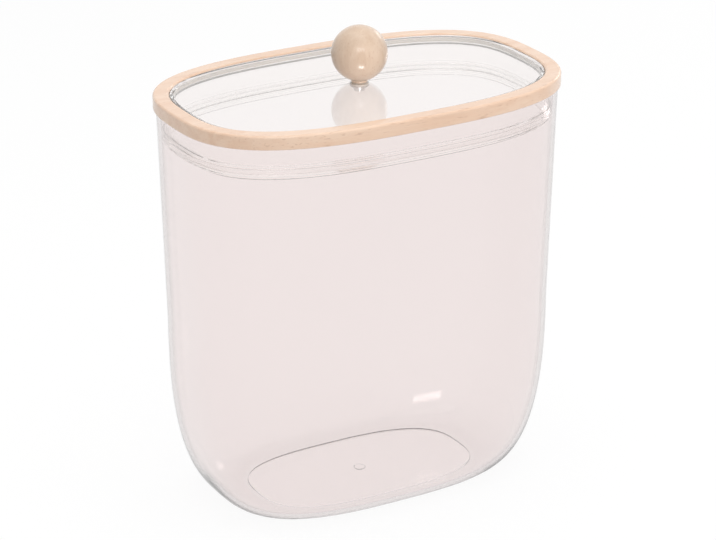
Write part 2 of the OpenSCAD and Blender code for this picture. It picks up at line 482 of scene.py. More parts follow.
@dataclass(frozen=True)
class Clear:
    """Clear moulded plastic or silicone, with slow ripples and a fine haze in its surface.

    Attributes:
        name: The material's name.
        tint: What a wall's two faces let through together.
        depth_tint: The colour that it takes where light goes a long way in it.
        depth: How strongly it takes it, for each metre.
        rim: What is left of the tint where the wall turns away from the eye; this darkening of the edges
            is painted shade.
        rim_span: Where on its way from face-on to edge-on the painted shade starts and ends.
        haze: Its least and greatest roughness.
        refraction: The index of refraction.
        ripple: The height of the slow ripples.
        ripples: How many of them there are in a metre, along each axis.
        grain: How many specks of haze there are in a metre.
    """

    name: str
    tint: Colour
    depth_tint: Colour
    depth: float
    rim: float = 1.0
    rim_span: tuple[float, float] = (0.7, 0.88)
    haze: tuple[float, float] = (0.0, 0.04)
    refraction: float = 1.5
    ripple: float = 0.02 * MM
    ripples: tuple[float, float, float] = (9, 9, 5)
    grain: float = 60.0

    def material(self) -> bpy.types.Material:
        """Makes the material, which a lamp's light passes straight through.

        Returns:
            The material.
        """
        sheet = NodeSheet(self.name)
        slow = sheet.noise(self.ripples, 1.0)
        bump = sheet.add("Bump", Height=slow, Strength=1.0, Distance=self.ripple)
        specks = sheet.noise((self.grain, self.grain, self.grain / 2), 4.0)
        clear = sheet.add(
            "BsdfPrincipled",
            Base_Color=(*self.tint, 1),
            Roughness=sheet.spread(specks, *self.haze),
            Normal=bump.outputs["Normal"],
            IOR=self.refraction,
            Transmission_Weight=1.0,
        )
        # Painted shade: where the wall turns edge-on, the tint darkens by view angle, which gives darker
        # edges.
        if self.rim < 1:
            turned = sheet.add("LayerWeight", Blend=0.5).outputs["Facing"]
            painted_edge_shade = tuple(part * self.rim for part in self.tint)
            colour = sheet.ramp(turned, list(zip(self.rim_span, (self.tint, painted_edge_shade))))
            sheet.tree.links.new(colour, clear.inputs["Base Color"])
        face = [LAMP_THROUGH_FACE * math.sqrt(part) for part in self.tint]
        through = sheet.add("BsdfTransparent", Color=(*face, 1))
        lamp = sheet.add("LightPath").outputs["Is Shadow Ray"]
        mixed = sheet.add("MixShader", slot_0=lamp, slot_1=clear.outputs[0], slot_2=through.outputs[0])
        inside = sheet.add("VolumeAbsorption", Color=(*self.depth_tint, 1), Density=self.depth)
        return sheet.close(mixed.outputs[0], inside.outputs[0])


@dataclass(frozen=True)
class Milky:
    """White silicone, soft and slightly cloudy.

    Attributes:
        name: The material's name.
        colour: Its colour.
        cloud: Its colour where the fill is thinner.
        haze: Its least and greatest roughness.
        cut: The noise at which it is cloudy, and that at which it is plain.
        clouds: How many clouds there are in a metre.
        grain: How many grains of its skin there are in a metre.
    """

    name: str
    colour: Colour
    cloud: Colour
    haze: tuple[float, float] = (0.35, 0.55)
    cut: tuple[float, float] = (0.35, 0.65)
    clouds: float = 500.0
    grain: float = 4000.0

    def material(self) -> bpy.types.Material:
        """Makes the material.

        Returns:
            The material.
        """
        sheet = NodeSheet(self.name)
        noise = sheet.noise([self.clouds] * 3, 3.0)
        fine = sheet.noise([self.grain] * 3, 2.0)
        bump = sheet.add("Bump", Height=fine, Strength=0.2, Distance=0.03 * MM)
        skin = sheet.add(
            "BsdfPrincipled",
            Base_Color=sheet.ramp(noise, list(zip(self.cut, (self.cloud, self.colour)))),
            Roughness=sheet.spread(noise, *self.haze),
            Normal=bump.outputs["Normal"],
            IOR=1.41,
        )
        return sheet.close(skin.outputs[0])


@dataclass(frozen=True)
class Timber:
    """Pale close-grained timber under satin lacquer.

    Attributes:
        name: The material's name.
        pale: The lighter wood.
        warm: The darker wood, in the slow bands of growth.
        fleck: The short rays that lie along the grain.
        painted_light: A lighter wood, painted on the faces in shade that a layer of the mesh marks, to
            lift their shade.
        grain: How many features there are in a metre, along each axis; it is least along the grain.
        shift: Where in the board the piece was cut.
        bands: The noise at which the wood is warm, and that at which it is pale.
        haze: The roughness of the warm wood and of the pale.
        stray: How far the growth bands wander from straight.
        fibre_scale: How much finer the fibres are than the growth bands.
        ray_scale: How much finer the rays are than the growth bands.
        ray_cut: The noise below which a ray is full, and that above which there is none.
        ray_share: How strongly the rays show.
        coat: How much lacquer lies on it, and how rough the lacquer is.
    """

    name: str
    pale: Colour
    warm: Colour
    fleck: Colour
    painted_light: Colour
    grain: tuple[float, float, float]
    shift: tuple[float, float, float] = (0.0, 0.0, 0.0)
    bands: tuple[float, float] = (0.36, 0.62)
    haze: tuple[float, float] = (0.52, 0.4)
    stray: float = 0.8
    fibre_scale: float = 7.0
    ray_scale: float = 9.0
    ray_cut: tuple[float, float] = (0.29, 0.37)
    ray_share: float = 0.45
    coat: tuple[float, float] = (0.8, 0.13)

    def material(self) -> bpy.types.Material:
        """Makes the material.

        Returns:
            The material.
        """
        sheet = NodeSheet(self.name)
        wander = sheet.add("TexNoise", Vector=sheet.coordinates((9, 9, 9)), Scale=1.0, Detail=1.0)
        place = sheet.coordinates(self.grain, self.shift)
        bent = sheet.add(
            "VectorMath", {"operation": "MULTIPLY_ADD"},
            slot_0=wander.outputs["Color"], slot_1=[self.stray] * 3, slot_2=place,
        )
        growth = sheet.add("TexNoise", Vector=bent.outputs[0], Scale=1.0, Detail=2.0, Distortion=0.5)
        fibre = sheet.noise([self.fibre_scale * part for part in self.grain], 3.0, self.shift, 0.55)
        both = sheet.add("MixRGB", Fac=0.3, Color1=growth.outputs["Fac"], Color2=fibre)
        wood = sheet.ramp(both.outputs["Color"], list(zip(self.bands, (self.warm, self.pale))))
        rays = sheet.noise([self.ray_scale * part for part in self.grain], 1.0, self.shift, 0.55)
        rays = sheet.ramp(rays, list(zip(self.ray_cut, ((1, 1, 1), (0, 0, 0)))))
        rays = sheet.spread(rays, 0.0, self.ray_share)
        marked = sheet.add("MixRGB", Fac=rays, Color1=wood, Color2=(*self.fleck, 1))
        # Painted light: the faces that the layer marks take a lighter wood, which lifts the shade they lie
        # in.
        painted_light_mask = sheet.add("Attribute", {"attribute_name": PAINTED_LIGHT_LAYER}).outputs["Fac"]
        colour = sheet.add("MixRGB", Fac=painted_light_mask, Color1=marked.outputs["Color"], Color2=(*self.painted_light, 1))
        bump = sheet.add("Bump", Height=fibre, Strength=0.3, Distance=0.06 * MM)
        lacquer = sheet.add(
            "BsdfPrincipled",
            Base_Color=colour.outputs["Color"],
            Roughness=sheet.spread(both.outputs["Color"], *self.haze),
            Normal=bump.outputs["Normal"],
            Coat_Weight=self.coat[0],
            Coat_Roughness=self.coat[1],
            IOR=1.5,
        )
        return sheet.close(lacquer.outputs[0])


@dataclass(frozen=True)
class TurnedMetal:
    """Turned or rolled metal, with fine lines round its axis.

    Attributes:
        name: The material's name.
        colour: Its colour.
        rough: Its least and greatest roughness.
        lines: How many tool lines there are in a metre, along each axis.
    """

    name: str
    colour: Colour
    rough: tuple[float, float]
    lines: tuple[float, float, float] = (80, 80, 9000)

    def material(self) -> bpy.types.Material:
        """Makes the material.

        Returns:
            The material.
        """
        sheet = NodeSheet(self.name)
        lines = sheet.noise(self.lines, 3.0)
        bump = sheet.add("Bump", Height=lines, Strength=0.3, Distance=0.02 * MM)
        metal = sheet.add(
            "BsdfPrincipled",
            Base_Color=(*self.colour, 1),
            Metallic=1.0,
            Roughness=sheet.spread(lines, *self.rough),
            Normal=bump.outputs["Normal"],
        )
        return sheet.close(metal.outputs[0])


def stand_for(piece: bpy.types.Object, finish: Finish, node: str, body: str = "lid") -> None:
    """Dresses a piece and puts it in the place of a node of the frame.

    Args:
        piece: The piece.
        finish: The finish of all its faces.
        node: The node that it stands for.
        body: The body that it moves with.
    """
    piece.data.materials.append(finish.material())
    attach(piece, body)
    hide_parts(node)
    LOG.info("%s: %d faces, stands for %s", piece.name, len(piece.data.polygons), node)


def rounded(
    inner: Oval, at: float, out: float, low: float, high: float, radius: float, steps: int
) -> list[OvalRing]:
    """Rings of a rounded corner between a wall and a level top or bottom.

    Args:
        inner: The outline that insets are measured from.
        at: The inset of the wall.
        out: 1 if the solid lies further in than the wall, or -1 if further out.
        low: The height at which the corner starts.
        high: The height at which the corner ends.
        radius: The corner's radius.
        steps: How many steps the corner takes.

    Returns:
        The rings, from the wall to the level face.
    """
    rise = high - low
    return [
        OvalRing(inner, at + out * radius * (1 - math.cos(a)), low + rise * math.sin(a))
        for a in arc_steps(steps)
    ]


@dataclass
class Canister:
    """The clear body, from its foot up to its rim, and down inside to its floor."""

    rim: Oval
    height: float
    turns: Sequence[float]
    draft: float = 0.024
    wall: float = 2.4 * MM
    rim_round: float = 0.8 * MM
    rim_steps: int = 6
    wall_steps: int = 4
    foot: Oval = Oval(73 * MM, 41.5 * MM, OVAL_POWER)
    bowl_height: float = 113 * MM
    bowl_power: float = 2.7
    bowl_steps: int = 40
    floor: float = 3.2 * MM
    foot_ring: float = 2.6 * MM
    foot_hollow: float = 1.4 * MM
    gate_radius: float = 3.5 * MM
    gate_height: float = 0.5 * MM
    ease: float = 0.2 * MM

    def straight(self, height: float) -> Oval:
        """The outline of the leaning wall at that height."""
        lean = self.draft * (self.height - height)
        return Oval(self.rim.half_x - lean, self.rim.half_y - lean, self.rim.power)

    def bowl(self, turn: float) -> OvalRing:
        """The outer ring of the bowl.

        Args:
            turn: How far up the bowl, from 0 at the foot to a right angle at its top.

        Returns:
            The ring.
        """
        top, share = self.straight(self.bowl_height), 2 / self.bowl_power
        out = math.sin(turn) ** share
        oval = Oval(
            self.foot.half_x + (top.half_x - self.foot.half_x) * out,
            self.foot.half_y + (top.half_y - self.foot.half_y) * out,
            self.rim.power,
        )
        return OvalRing(oval, 0, self.bowl_height * (1 - max(math.cos(turn), 0) ** share))

    def bowl_inside(self, turn: float) -> OvalRing:
        """The inner ring across the wall from an outer ring of the bowl.

        Args:
            turn: The turn of the outer ring.

        Returns:
            The ring, further in where the floor is thicker than the wall.
        """
        step = math.radians(1)
        low, high = self.bowl(max(turn - step, 0)), self.bowl(min(turn + step, math.pi / 2))
        rise = high.height - low.height
        run = (high.oval.half_x - low.oval.half_x + high.oval.half_y - low.oval.half_y) / 2
        along = math.hypot(rise, run)
        rise, run = (0.0, 1.0) if turn == 0 else (rise / along, run / along)
        thick = self.wall + (self.floor - self.wall) * run
        outer = self.bowl(turn)
        return OvalRing(outer.oval, thick * rise, outer.height + thick * run)

    def build(self) -> bpy.types.Object:
        """Makes the piece.

        Returns:
            The finished piece.
        """
        bowl_turns = arc_steps(self.bowl_steps)
        hollow, ring = self.foot_hollow, self.foot_ring
        gate_top = hollow - self.gate_height
        rings: list[RingShape] = [
            RoundRing(self.gate_radius - self.ease, gate_top),
            RoundRing(self.gate_radius, gate_top + self.ease),
            RoundRing(self.gate_radius, hollow),
            OvalRing(self.foot, ring + hollow / 4, hollow),
            OvalRing(self.foot, ring + self.ease, self.ease),
            OvalRing(self.foot, ring, 0),
        ]
        rings += [self.bowl(turn) for turn in bowl_turns]
        top, edge = self.height - self.rim_round, self.rim_round
        climb = (top - self.bowl_height) / self.wall_steps
        walls = [self.bowl_height + climb * i for i in range(1, self.wall_steps)]
        rings += [OvalRing(self.straight(height), 0, height) for height in walls]
        rings += rounded(self.rim, 0, 1, top, self.height, edge, self.rim_steps)
        rings += reversed(rounded(self.rim, self.wall, -1, top, self.height, edge, self.rim_steps))
        rings += [OvalRing(self.straight(height), self.wall, height) for height in reversed(walls)]
        rings += [self.bowl_inside(turn) for turn in reversed(bowl_turns)]
        return RingLoft("canister_body", self.turns).through(rings, Ends.FLAT)


@dataclass
class LidSizes:
    """The levels and insets that the pieces of the lid share, from the canister's rim.

    Attributes:
        rim: The outline of the canister's rim.
        height: The height of that rim.
        band_top: The height of the top of the band.
        overhang: How far the band stands out past the rim.
        turns: The angles of the points round each ring.
        skirt_gap: The gap between the skirt of the band and the rim.
        band_width: The width of the band, from above.
        skirt: The thickness of the skirt.
        fit: The gap between the band and the panel that it fits round.
        flange: The thickness of the flange that rests on the rim.
        plate_drop: How far the plate lies below the top of the band.
        plate: The thickness of the plate.
        step: The thickness of the wall that steps up to the plate.
        wall: The thickness of the canister's wall.
        seal_space: The space for the seal, between that wall and the plug.
        plug_wall: The thickness of the plug's wall.
        plug_height: How far the plug reaches down.
        rib_out: How far the two ribs of the plug stand out.
        rib: The thickness of a rib.
        rib_rise: The height of the lower rib above the edge of the plug.
        groove: The height of the groove between the ribs.
        seat: The gap that keeps faces that rest on each other apart.
    """

    rim: Oval
    height: float
    band_top: float
    overhang: float
    turns: Sequence[float]
    skirt_gap: float = 0.3 * MM
    band_width: float = 9.5 * MM
    skirt: float = 1.9 * MM
    fit: float = 0.2 * MM
    flange: float = 2.0 * MM
    plate_drop: float = 0.7 * MM
    plate: float = 2.5 * MM
    step: float = 2.2 * MM
    wall: float = 2.4 * MM
    seal_space: float = 3.8 * MM
    plug_wall: float = 2.0 * MM
    plug_height: float = 19.5 * MM
    rib_out: float = 1.5 * MM
    rib: float = 1.0 * MM
    rib_rise: float = 1.1 * MM
    groove: float = 5.4 * MM
    seat: float = 0.03 * MM

    @property
    def band_in(self) -> float:
        """Inset of the band's inner face."""
        return self.band_width - self.overhang

    @property
    def skirt_in(self) -> float:
        """Inset of the skirt's inner face."""
        return self.skirt - self.overhang

    @property
    def plug_out(self) -> float:
        """Inset of the plug's outer face."""
        return self.wall + self.seal_space

    @property
    def plate_top(self) -> float:
        """Height of the plate's upper face."""
        return self.band_top - self.plate_drop

    @property
    def groove_low(self) -> float:
        """Height of the bottom of the groove for the seal."""
        return self.height - self.plug_height + self.rib_rise + self.rib

    def ring(self, inset: float, height: float) -> OvalRing:
        """A ring of the lid, inset from the canister's rim."""
        return OvalRing(self.rim, inset, height)


@dataclass
class LidPanel:
    """The clear plate, the step and flange round it, and the plug below."""

    sizes: LidSizes
    bevel: float = 0.4 * MM
    hole_radius: float = 2.3 * MM
    corner_steps: int = 4

    def _corner(self, at: tuple[float, float], to: tuple[float, float]) -> list[OvalRing]:
        """A rounded edge.

        Args:
            at: Inset and height of the point that the edge starts from.
            to: Inset and height of the point that it ends at.

        Returns:
            The rings along a quarter round that leaves the first point upright.
        """
        (inset, low), (end, high) = at, to
        return [
            self.sizes.ring(inset + (end - inset) * (1 - math.cos(a)), low + (high - low) * math.sin(a))
            for a in arc_steps(self.corner_steps)
        ]

    def build(self) -> bpy.types.Object:
        """Makes the piece.

        Returns:
            The finished piece.
        """
        s, b = self.sizes, self.bevel
        top, flange_top, low = s.plate_top, s.height + s.flange, s.height + s.seat
        step_out, flange_out = s.band_in + s.fit, s.skirt_in + s.fit
        step_in, plug_in, bottom = step_out + s.step, s.plug_out + s.plug_wall, s.height - s.plug_height
        ribs = []
        for rib_top in (s.groove_low + s.groove + s.rib, s.groove_low):
            rib_edge, rib_low = s.plug_out - s.rib_out, rib_top - s.rib
            ribs += [
                s.ring(s.plug_out, rib_top),
                s.ring(rib_edge + b / 2, rib_top),
                s.ring(rib_edge, rib_top - b / 2),
                s.ring(rib_edge, rib_low + b / 2),
                s.ring(rib_edge + b / 2, rib_low),
                s.ring(s.plug_out, rib_low),
            ]
        rings: list[RingShape] = [RoundRing(self.hole_radius, top)]
        rings += reversed(self._corner((step_out, top - b), (step_out + b, top)))
        rings += [s.ring(step_out, flange_top)]
        rings += reversed(self._corner((flange_out, flange_top - b), (flange_out + b, flange_top)))
        rings += [s.ring(flange_out, low), s.ring(s.plug_out, low)]
        rings += ribs
        rings += self._corner((s.plug_out, bottom + b), (s.plug_out + b, bottom))
        rings += reversed(self._corner((plug_in, bottom + b), (plug_in - b, bottom)))
        rings += [
            s.ring(plug_in, s.height - b),
            s.ring(step_in, s.height + b),
            s.ring(step_in, top - s.plate),
            RoundRing(self.hole_radius, top - s.plate),
        ]
        return RingLoft("lid_plate", s.turns).through(rings, Ends.LOOP)


@dataclass
class TimberBand:
    """The tan band round the lid, with the skirt that hides the flange."""

    sizes: LidSizes
    round_top: float = 1.5 * MM
    round_steps: int = 8
    ease: float = 0.5 * MM
    ease_steps: int = 4

    def build(self) -> bpy.types.Object:
        """Makes the piece.

        Returns:
            The finished piece.
        """
        s, low, top = self.sizes, self.sizes.height + self.sizes.skirt_gap, self.sizes.band_top
        out, start = -s.overhang, top - self.round_top
        rings: list[RingShape] = [
            s.ring(s.band_in, s.height + s.flange + s.seat),
            s.ring(s.skirt_in, s.height + s.flange + s.seat),
            s.ring(s.skirt_in, low),
        ]
        rings += reversed(rounded(s.rim, out, 1, low + self.ease, low, self.ease, self.ease_steps))
        rings += rounded(s.rim, out, 1, start, top, self.round_top, self.round_steps)
        rings += reversed(rounded(s.rim, s.band_in, -1, start, top, self.round_top, self.round_steps))
        piece = RingLoft("timber_band", s.turns).through(rings, Ends.LOOP)
        # The inner faces below the top's round lie in shade; the layer marks them for the painted lighter
        # wood.
        painted_light = piece.data.attributes.new(PAINTED_LIGHT_LAYER, "FLOAT", "FACE")
        for face in piece.data.polygons:
            unseen = face.normal.xy.dot(face.center.xy) < 0 or face.normal.z > POINTS_UP
            painted_light.data[face.index].value = float(unseen and face.center.z < start)
        return piece


@dataclass
class LipSeal:
    """The soft seal in the groove of the plug: a flat band with two lips."""

    sizes: LidSizes
    draft: float = 0.024
    back_gap: float = 0.08 * MM
    thick: float = 1.4 * MM
    root: float = 1.2 * MM
    tip: float = 0.5 * MM
    rise: float = 0.9 * MM
    lip_gap: float = 0.3 * MM
    tip_steps: int = 6

    def _lip(self, front: float, low: float) -> list[OvalRing]:
        """One lip, from its lower root out to its round tip and back.

        Args:
            front: The inset of the front of the band that it grows from.
            low: The height of its lower root.

        Returns:
            The rings.
        """
        s = self.sizes
        tip_low = low + self.rise
        reach = s.wall + self.draft * (s.height - tip_low) + self.lip_gap
        half = self.tip / 2
        tip = [
            s.ring(reach + half * (1 - math.sin(a)), tip_low + half - half * math.cos(a))
            for a in [math.pi * i / self.tip_steps for i in range(self.tip_steps + 1)]
        ]
        return [s.ring(front, low), *tip, s.ring(front, low + self.root)]

    def build(self) -> bpy.types.Object:
        """Makes the piece.

        Returns:
            The finished piece.
        """
        s = self.sizes
        back = s.plug_out - self.back_gap
        front = back - self.thick
        low, high = s.groove_low + self.back_gap, s.groove_low + s.groove - self.back_gap
        pitch = (high - low) / 2
        rings: list[RingShape] = [s.ring(back, low), s.ring(front, low)]
        for start in (low, low + pitch):
            rings += self._lip(front, start + (pitch - self.root) / 2)
        rings += [s.ring(front, high), s.ring(back, high)]
        return RingLoft("lip_seal", s.turns).through(rings, Ends.LOOP)


@dataclass
class BallKnob:
    """The turned ball on its neck, with the socket in its foot."""

    ball_radius: float
    top: float
    foot: float
    neck_radius: float = 4.8 * MM
    fillet: float = 1.0 * MM
    bevel: float = 0.2 * MM
    socket_radius: float = 3.05 * MM
    socket: float = 14.0 * MM
    points: int = 144
    ball_steps: int = 72
    fillet_steps: int = 8
    crown: float = 0.02 * MM

    def build(self) -> bpy.types.Object:
        """Makes the piece.

        Returns:
            The finished piece.
        """
        middle = self.top - self.ball_radius
        hollow_r = self.neck_radius + self.fillet
        reach = self.ball_radius + self.fillet
        hollow_z = middle - math.sqrt(reach**2 - hollow_r**2)
        meet = math.acos(hollow_r / reach)
        rings: list[RingShape] = [
            RoundRing(self.socket_radius, self.foot + self.socket),
            RoundRing(self.socket_radius, self.foot),
            RoundRing(self.neck_radius - self.bevel, self.foot),
            RoundRing(self.neck_radius, self.foot + self.bevel),
        ]
        rings += [
            RoundRing(hollow_r - self.fillet * math.cos(a), hollow_z + self.fillet * math.sin(a))
            for a in [meet * i / self.fillet_steps for i in range(self.fillet_steps + 1)]
        ]
        span = math.pi / 2 + meet
        rings += [
            RoundRing(self.ball_radius * math.cos(a), middle + self.ball_radius * math.sin(a))
            for a in [span * i / self.ball_steps - meet for i in range(1, self.ball_steps)]
        ]
        rings.append(RoundRing(self.crown, self.top))
        return RingLoft("ball_knob", round_turns(self.points)).through(rings, Ends.POINT_LAST)


@dataclass
class RoundPart:
    """A round piece of the knob's fastening, at the place that its node gives."""

    radius: float
    low: float
    high: float
    points: int = 64
    corner_steps: int = 3

    @classmethod
    def at(cls, node: str, **sizes: float) -> Self:
        """Takes the radius and the heights from a node of the frame, and the other sizes as given."""
        low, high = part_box(node)
        return cls(high.y, low.z, high.z, **sizes)

    def loft(self, name: str, rings: Sequence[RingShape], ends: Ends) -> bpy.types.Object:
        """Runs a skin through rings that have this part's number of points."""
        return RingLoft(name, round_turns(self.points)).through(rings, ends)

    def corner(self, radius: float, height: float, out: float, up: float) -> list[RoundRing]:
        """Rings round a corner, from its upright side to its level side.

        Args:
            radius: The radius of the upright side.
            height: The height of the level side.
            out: How far the corner rounds in from the upright side; less than 0 in a hole.
            up: How far it rounds up from its start; less than 0 at a lower corner.

        Returns:
            The rings.
        """
        return [
            RoundRing(radius - out * (1 - math.cos(a)), height - up * (1 - math.sin(a)))
            for a in arc_steps(self.corner_steps)
        ]


@dataclass
class Washer(RoundPart):
    """A washer with rounded edges."""

    hole_radius: float = 2.3 * MM
    edge: float = 0.15 * MM

    def build(self, name: str) -> bpy.types.Object:
        """Makes the piece.

        Args:
            name: Its name.

        Returns:
            The finished piece.
        """
        e = self.edge
        rings: list[RingShape] = [
            *reversed(self.corner(self.radius, self.low, e, -e)),
            *self.corner(self.radius, self.high, e, e),
            *reversed(self.corner(self.hole_radius, self.high, -e, e)),
            *self.corner(self.hole_radius, self.low, -e, -e),
        ]
        return self.loft(name, rings, Ends.LOOP)


@dataclass
class RecessScrew(RoundPart):
    """The screw: a domed head with a cross recess, and a threaded shank."""

    head: float = 2.6 * MM
    crown_radius: float = 3.2 * MM
    shank_radius: float = 2.0 * MM
    pitch: float = 0.7 * MM
    thread: float = 0.38 * MM
    plain: float = 1.4 * MM
    tip: float = 0.6 * MM
    recess: tuple[float, float, float] = (4.4 * MM, 1.2 * MM, 1.6 * MM)
    taper: float = 0.6
    dome_steps: int = 6
    steps_in_pitch: int = 8

    def _cut_recess(self, piece: bpy.types.Object) -> None:
        """Cuts the cross into the crown with two tapered bars.

        Args:
            piece: The screw.
        """
        length, width, deep = self.recess
        for turn in (0, math.pi / 2):
            bpy.ops.object.select_all(action="DESELECT")
            bpy.ops.mesh.primitive_cube_add(size=1, location=(0, 0, self.low), rotation=(0, 0, turn))
            bar = bpy.context.object
            bar.scale = (length, width, 2 * deep)
            bpy.ops.object.transform_apply(location=True, rotation=True, scale=True)
            bpy.ops.object.mode_set(mode="EDIT")
            mesh = bmesh.from_edit_mesh(bar.data)
            for face in mesh.faces:
                face.select_set(face.normal.z > POINTS_UP)
            bmesh.update_edit_mesh(bar.data)
            bpy.ops.transform.resize(value=(self.taper, self.taper, 1))
            bpy.ops.object.mode_set(mode="OBJECT")
            cut = piece.modifiers.new("recess", "BOOLEAN")
            cut.operation, cut.object = "DIFFERENCE", bar
            bpy.ops.object.select_all(action="DESELECT")
            bpy.context.view_layer.objects.active = piece
            bpy.ops.object.modifier_apply(modifier=cut.name)
            bpy.data.objects.remove(bar)

    def build(self) -> bpy.types.Object:
        """Makes the piece.

        Returns:
            The finished piece.
        """
        under, step = self.low + self.head, self.pitch / self.steps_in_pitch
        shank, fall = self.shank_radius, self.radius - self.crown_radius
        dome = [
            RoundRing(self.radius - fall * math.sin(a), under - self.head * math.sin(a))
            for a in reversed(arc_steps(self.dome_steps))
        ]
        start = under + self.plain
        count = round((self.high - start) / step)
        rings: list[RingShape] = [RoundRing(self.crown_radius * self.taper, self.low), *dome]
        rings += [RoundRing(shank, under), RoundRing(shank, start - step)]
        for i in range(count + 1):
            height = start + (self.high - start) * i / count
            past_tip = max(0.0, height - (self.high - self.tip))
            rings.append(ThreadRing(shank, self.thread, self.pitch, height, shank - past_tip))
        piece = self.loft("recess_screw", rings, Ends.FLAT)
        self._cut_recess(piece)
        return piece


@dataclass
class ThreadInsert(RoundPart):
    """The brass insert: two knurled bands with a groove between them, and a threaded bore."""

    points: int = 128
    groove: float = 2.0 * MM
    groove_depth: float = 0.3 * MM
    knurl_depth: float = 0.18 * MM
    knurls: int = 32
    knurl_steps: int = 12
    twist: float = 200.0
    edge: float = 0.3 * MM
    bore_radius: float = 2.05 * MM
    pitch: float = 0.7 * MM
    thread: float = 0.38 * MM
    steps_in_pitch: int = 8

    def _band(self, low: float, high: float) -> list[RingShape]:
        """One knurled band, bevelled at both ends.

        Args:
            low: The height of its lower end.
            high: The height of its upper end.

        Returns:
            The rings.
        """
        inner = self.radius - self.groove_depth
        climb = (high - low - 2 * self.edge) / self.knurl_steps
        knurled = [
            KnurlRing(self.radius, self.knurl_depth, self.knurls, self.twist, low + self.edge + climb * i)
            for i in range(self.knurl_steps + 1)
        ]
        return [RoundRing(inner, low), *knurled, RoundRing(inner, high)]

    def build(self) -> bpy.types.Object:
        """Makes the piece.

        Returns:
            The finished piece.
        """
        middle, half = (self.low + self.high) / 2, self.groove / 2
        rings = self._band(self.low, middle - half) + self._band(middle + half, self.high)
        length = self.high - self.low
        count = round(length / self.pitch * self.steps_in_pitch)
        rings += [
            ThreadRing(self.bore_radius, self.thread, self.pitch, self.high - length * i / count)
            for i in range(count + 1)
        ]
        return self.loft("thread_insert", rings, Ends.LOOP)


def stand(
    name: str, data: bpy.types.ID, azimuth: float, elevation: float, distance: float, aim: Sequence[float]
) -> bpy.types.Object:
    """Stands a camera or a lamp so that it faces a point.

    Args:
        name: The name of the new object.
        data: The camera or the light.
        azimuth: Where it stands, in degrees round the point; at 0 it looks along +Y.
        elevation: How high it stands, in degrees.
        distance: How far it stands from the point.
        aim: The point.

    Returns:
        The new object.
    """
    side, up = math.radians(azimuth), math.radians(elevation)
    back = Vector((math.sin(side) * math.cos(up), -math.cos(side) * math.cos(up), math.sin(up)))
    stood = bpy.data.objects.new(name, data)
    stood.location = Vector(aim) + back * distance
    stood.rotation_euler = (-back).to_track_quat("-Z", "Y").to_euler()
    bpy.context.scene.collection.objects.link(stood)
    return stood


@dataclass(frozen=True)
class PhotoView:
    """Where the camera stands.

    Attributes:
        azimuth: Where it stands, in degrees round the target.
        elevation: How high it stands, in degrees.
        distance: How far it stands from the target, in metres.
        target: The point that it looks at.
        field: The angle across the image, in degrees.
    """

    azimuth: float = -29.48
    elevation: float = 22.48
    distance: float = 1.608
    target: tuple[float, float, float] = (-0.0007, 0.0004, 0.1321)
    field: float = 15.0

    def place(self) -> None:
        """Adds the camera."""
        data = bpy.data.cameras.new("photo_view")
        data.angle = math.radians(self.field)
        camera = stand("photo_view", data, self.azimuth, self.elevation, self.distance, self.target)
        bpy.context.scene.camera = camera


@dataclass(frozen=True)
class Lamp:
    """One soft lamp, a rectangle that faces the object.

    Attributes:
        name: The lamp's name.
        azimuth: Where it stands, in degrees round the object.
        elevation: How high it stands, in degrees.
        distance: How far it stands.
        width: How wide it is.
        height: How tall it is.
        glow: How bright it is, where 1 is the white of the room.
        shiny: Whether gloss and glass show it.
        aim: The point that it faces.
        only: The pieces that it lights, or none for all.
    """

    name: str
    azimuth: float
    elevation: float
    distance: float
    width: float
    height: float
    glow: float
    shiny: bool = True
    aim: tuple[float, float, float] = (0, 0, 0.15)
    only: tuple[str, ...] = ()

    def place(self) -> None:
        """Adds the lamp."""
        data = bpy.data.lights.new(self.name, "AREA")
        data.shape = "RECTANGLE"
        data.size, data.size_y = self.width, self.height
        data.energy = self.glow * math.pi * self.width * self.height
        lamp = stand(self.name, data, self.azimuth, self.elevation, self.distance, self.aim)
        lamp.visible_camera = False
        lamp.visible_glossy = lamp.visible_transmission = self.shiny
        if self.only:
            lit = bpy.data.collections.new(self.name + "_lit")
            for name in self.only:
                lit.objects.link(bpy.data.objects[name])
            lamp.light_linking.receiver_collection = lit


